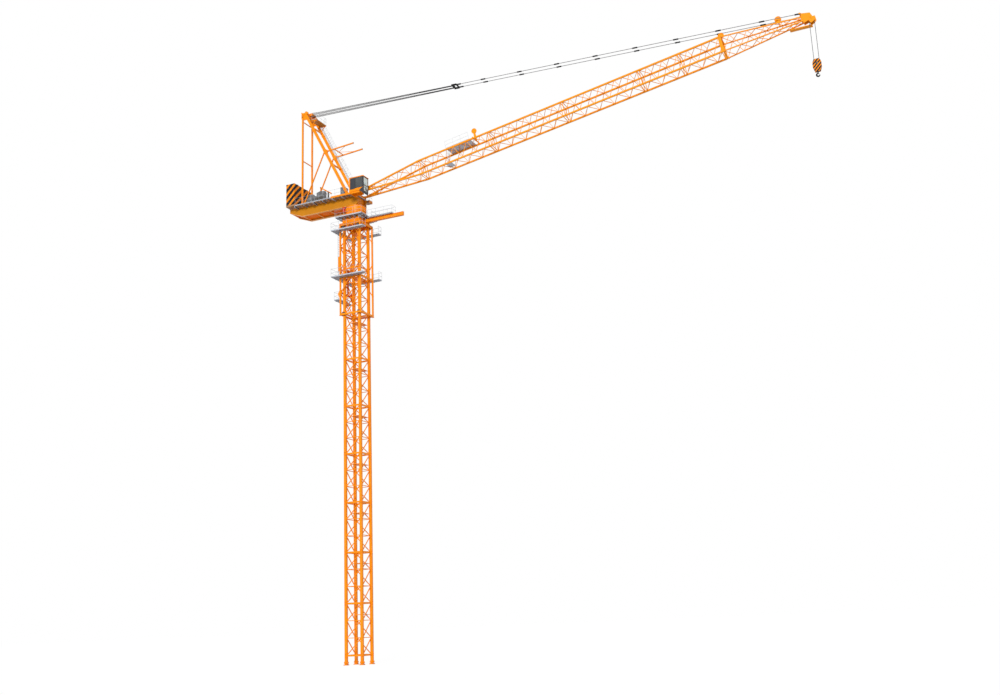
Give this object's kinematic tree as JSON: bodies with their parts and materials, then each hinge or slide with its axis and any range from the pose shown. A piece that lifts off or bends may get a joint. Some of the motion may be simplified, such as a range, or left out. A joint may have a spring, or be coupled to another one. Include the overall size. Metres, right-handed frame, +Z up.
{
  "type": "half-size scale model of a luffing-jib tower crane",
  "caption": "Luffing-jib tower crane model at half size: lattice mast with climbing cage, slewing deck with cab, ballast and tie frame, and a raising lattice jib with pendants and hook",
  "frame": {"origin": "centre of the four mast feet, on the ground plane under their base plates", "axes": "+X along the jib with the crane slewed to its rest heading, +Y to the left of the jib, +Z up the mast"},
  "size_m": [34.8756, 2.59, 36.3132],
  "materials": {
    "orange_paint": "satin gloss paint",
    "grey_grating": "galvanised grating",
    "dark_steel": "oiled dark steel",
    "red_paint": "gloss paint",
    "ballast_stripes": "orange paint with black hazard stripes",
    "machine_grey": "machine enamel",
    "cab_glass": "tinted glass",
    "steel_rope": "drawn steel wire",
    "black_paint": "black paint",
    "block_stripes": "orange paint with black hazard stripes"
  },
  "bodies": {
    "tower": {"mast_left_side": "orange_paint", "mast_right_side": "orange_paint", "mast_cross_bracing": "orange_paint", "mast_feet": "dark_steel", "mast_landings": "orange_paint", "cage_left_side": "orange_paint", "cage_right_side": "orange_paint", "cage_rear_bracing": "orange_paint", "cage_front_beams": "orange_paint", "cage_guide_shoes": "dark_steel", "cage_upper_platform": "grey_grating", "cage_middle_platform": "grey_grating", "cage_lower_platform": "grey_grating", "jack_beams": "red_paint", "jack_cylinder": "red_paint", "slew_base": "orange_paint", "slew_ring": "orange_paint", "slew_walkway": "grey_grating", "introduction_beam": "orange_paint", "introduction_walkway": "grey_grating"},
    "upperworks": {"turntable": "orange_paint", "deck_girders": "orange_paint", "deck_cross_beams": "orange_paint", "deck_floor": "grey_grating", "deck_walkways": "grey_grating", "counterweights": "ballast_stripes", "gantry_front_legs": "orange_paint", "gantry_rear_ties": "orange_paint", "gantry_cross_bars": "orange_paint", "gantry_braces": "orange_paint", "gantry_head": "orange_paint", "gantry_sheaves": "dark_steel", "jib_stops": "orange_paint", "gantry_platform": "orange_paint", "winch_drum": "machine_grey", "winch_stands": "machine_grey", "winch_motor": "machine_grey", "control_cabinet": "machine_grey", "cab_shell": "orange_paint", "cab_windows": "cab_glass", "cab_beams": "orange_paint", "jib_foot_forks": "orange_paint"},
    "jib": {"jib_left_side": "orange_paint", "jib_right_side": "orange_paint", "jib_cross_bracing": "orange_paint", "jib_tip_left_side": "orange_paint", "jib_tip_right_side": "orange_paint", "jib_tip_bracing": "orange_paint", "jib_head": "orange_paint", "tip_sheave": "dark_steel", "guide_brackets": "orange_paint", "guide_sheaves": "orange_paint", "jib_platform": "grey_grating", "tip_platform": "orange_paint"},
    "pendant_line": {"pendants": "steel_rope", "floating_block": "black_paint"},
    "luffing_ropes": {"luffing_ropes": "steel_rope"},
    "hoist_falls": {"hoist_rope_falls": "steel_rope"},
    "hook_block": {"hook_block": "block_stripes"},
    "hook": {"hook": "black_paint"}
  },
  "joints": [
    {"name": "slew", "type": "hinge", "parent": "tower", "child": "upperworks", "pos_m": [0, 0, 28.43], "axis": [0, 0, 1], "continuous": true},
    {"name": "luff", "type": "hinge", "parent": "upperworks", "child": "jib", "pos_m": [0.33, 0, 29.601], "axis": [0, -1, 0], "range_deg": [0, 70]},
    {"name": "pendant_swing", "type": "hinge", "parent": "jib", "child": "pendant_line", "pos_m": [29.2496, 0, 34.5502], "axis": [0, -1, 0], "range_deg": [0, 1.2]},
    {"name": "rope_swing", "type": "hinge", "parent": "upperworks", "child": "luffing_ropes", "pos_m": [-3.38, 0, 36.2], "axis": [0, -1, 0], "range_deg": [0, 71.2], "deforming": ["luffing_ropes"]},
    {"name": "hook_swing", "type": "hinge", "parent": "jib", "child": "hoist_falls", "pos_m": [29.8406, 0, 34.21], "axis": [0, -1, 0], "range_deg": [-70.2, 0]},
    {"name": "hoist", "type": "slide", "parent": "hoist_falls", "child": "hook_block", "axis": [0, 0, -1], "range_m": [-0.8, 29], "deforming": ["hoist_rope_falls"]},
    {"name": "hook_swivel", "type": "hinge", "parent": "hook_block", "child": "hook", "pos_m": [29.8406, 0, 30.82], "axis": [0, 0, 1], "continuous": true}
  ],
  "couplings": [
    {"joint": "pendant_swing", "follows": "luff", "ratio": 0.01426},
    {"joint": "rope_swing", "follows": "luff", "ratio": 1.0143},
    {"joint": "hook_swing", "follows": "luff", "ratio": -1}
  ]
}
